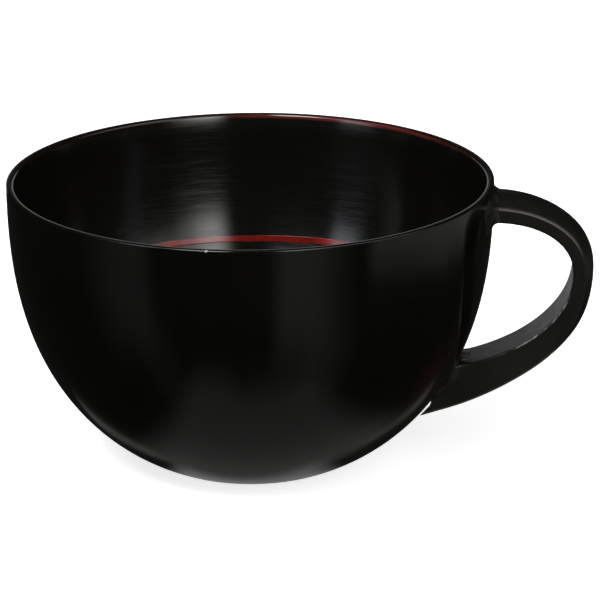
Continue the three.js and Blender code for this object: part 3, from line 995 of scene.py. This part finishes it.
class Studio:
    """A dim room with lit panels, drawn by direction in degrees: azimuth 0 is to -Y and 90 is to +X."""

    def __init__(self):
        world = bpy.data.worlds.new("studio")
        world.use_nodes = True
        bpy.context.scene.world = world
        n = Nodes(world.node_tree)
        self.n = n
        way = n.add("ShaderNodeTexCoord").outputs["Generated"]
        self.x, y, self.z = n.add("ShaderNodeSeparateXYZ", {0: way}).outputs
        self.front = n.math("MULTIPLY", y, -1.0)
        self.azimuth = n.math("DEGREES", n.math("ARCTAN2", self.x, self.front))
        self.elevation = n.math("DEGREES", n.math("ARCSINE", self.z))
        self.light = n.add("ShaderNodeCombineXYZ", DIM_ROOM).outputs[0]

    def panel(self, across, up, colour):
        """A lit panel between azimuths and elevations."""
        self.shine(self.n.window(self.azimuth, across, self.elevation, up), colour)

    def sheet_below(self, across, along, colour):
        """A lit sheet below, between shares of its distance to the right and to the front."""
        n = self.n
        down = n.math("MAXIMUM", n.math("MULTIPLY", self.z, -1.0), 0.001)
        right = n.math("DIVIDE", self.x, down)
        front = n.math("DIVIDE", self.front, down)
        is_below = n.math("LESS_THAN", self.z, 0.0)
        self.shine(n.math("MULTIPLY", n.window(right, across, front, along), is_below), colour)

    def shine(self, share, colour):
        """Adds a colour where the share is above 0."""
        glow = self.n.vector("SCALE", {0: colour, "Scale": share})
        self.light = self.n.vector("ADD", {0: self.light, 1: glow})

    def finish(self):
        """The camera sees white, everything else the studio."""
        n = self.n
        room = n.add("ShaderNodeBackground", {"Color": self.light, "Strength": 1.0})
        white = n.add("ShaderNodeBackground", {"Color": WHITE, "Strength": 1.0})
        result = n.add("ShaderNodeMixShader", {0: n.seen(), 1: room.outputs[0], 2: white.outputs[0]})
        n.add("ShaderNodeOutputWorld", {"Surface": result.outputs[0]})


def make_studio():
    """Softboxes round the bowl, and what a polished table shows of them from below.

    Each has four edges across and four up, as a fade in and out, and then its light.
    """
    studio = Studio()
    # Softboxes: right front, right, left, left front, high at the left front, and a ceiling
    studio.panel((14.5, 25.5, 26, 50), (5, 11, 45, 60), (5.2, 5.2, 5.1))
    studio.panel((38, 46, 90, 106), (12, 24, 58, 72), (1.3, 1.3, 1.27))
    studio.panel((-115, -95, -60, -50), (40, 48, 62, 74), (0.9, 0.91, 0.93))
    studio.panel((-65, -52, -46, -38), (4, 12, 40, 55), (2.7, 2.82, 3.05))
    studio.panel((-47, -39, -16, -8), (41, 49, 64, 74), (19.0, 19.1, 19.3))
    studio.panel((-400, -399, 399, 400), (56, 72, 91, 92), (0.2, 0.2, 0.195))
    # Gleams in the table: right front, left front, and a fainter one below each
    studio.panel((12, 22, 30, 58), (-56, -22, -10, -4), (0.19, 0.19, 0.185))
    studio.panel((-84, -54, -49, -40), (-44, -24, -10, -4), (0.10, 0.101, 0.103))
    studio.panel((30, 40, 52, 66), (-64, -50, -36, -24), (0.05, 0.05, 0.049))
    studio.panel((-62, -52, -42, -32), (-62, -52, -36, -26), (0.03, 0.03, 0.03))
    # More gleams in it: right, right towards the back, and two narrow ones at the back
    studio.panel((58, 66, 104, 118), (-22.0, -18.8, -8, -4), (0.28, 0.28, 0.27))
    studio.panel((104, 118, 124, 146), (-20.0, -17.8, -8, -4), (0.28, 0.28, 0.27))
    studio.panel((-156, -151, -147, -142), (-56, -48, -36.5, -34), (0.16, 0.16, 0.155))
    studio.panel((146, 150, 153, 159), (-56, -48, -37.5, -34), (0.13, 0.13, 0.127))
    # The table below, and a paler place on it at the left front
    studio.sheet_below((-0.58, -0.32, 0.40, 0.72), (-1.0, -0.45, 0.40, 0.95), (0.168, 0.168, 0.164))
    studio.sheet_below((-0.55, -0.38, -0.20, 0.0), (0.40, 0.70, 0.75, 1.15), (0.06, 0.06, 0.06))
    studio.finish()


def make_camera():
    """The camera at the photo's viewing angle."""
    lens = bpy.data.cameras.new("camera")
    lens.sensor_width = CAMERA_SENSOR
    lens.lens = CAMERA_LENS
    camera = bpy.data.objects.new("camera", lens)
    way = CAMERA_TARGET - CAMERA_PLACE
    turn = way.to_track_quat("-Z", "Y").to_matrix() @ Matrix.Rotation(CAMERA_ROLL, 3, "Z")
    camera.matrix_world = Matrix.Translation(CAMERA_PLACE) @ turn.to_4x4()
    bpy.context.scene.collection.objects.link(camera)
    bpy.context.scene.camera = camera


strip = Strip()
make_bowl(bowl_lacquer())
make_band(red_lacquer())
make_handle(handle_lacquer(), strip)
putty = putty_lacquer()
make_putty("upper_putty", "upper_joint_putty", putty, strip, list(range(strip.count)), UPPER_BEAD)
make_putty("lower_putty", "lower_joint_putty", putty, strip, lower_putty_lines(strip), LOWER_BEAD)
bamboo = bare_bamboo()
for node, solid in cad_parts.items():
    if "_pin_" in node:
        solid.data.materials.clear()
        solid.data.materials.append(bamboo)

make_floor()
make_backdrop()
make_studio()
make_camera()
bpy.context.scene.view_settings.view_transform = "Standard"
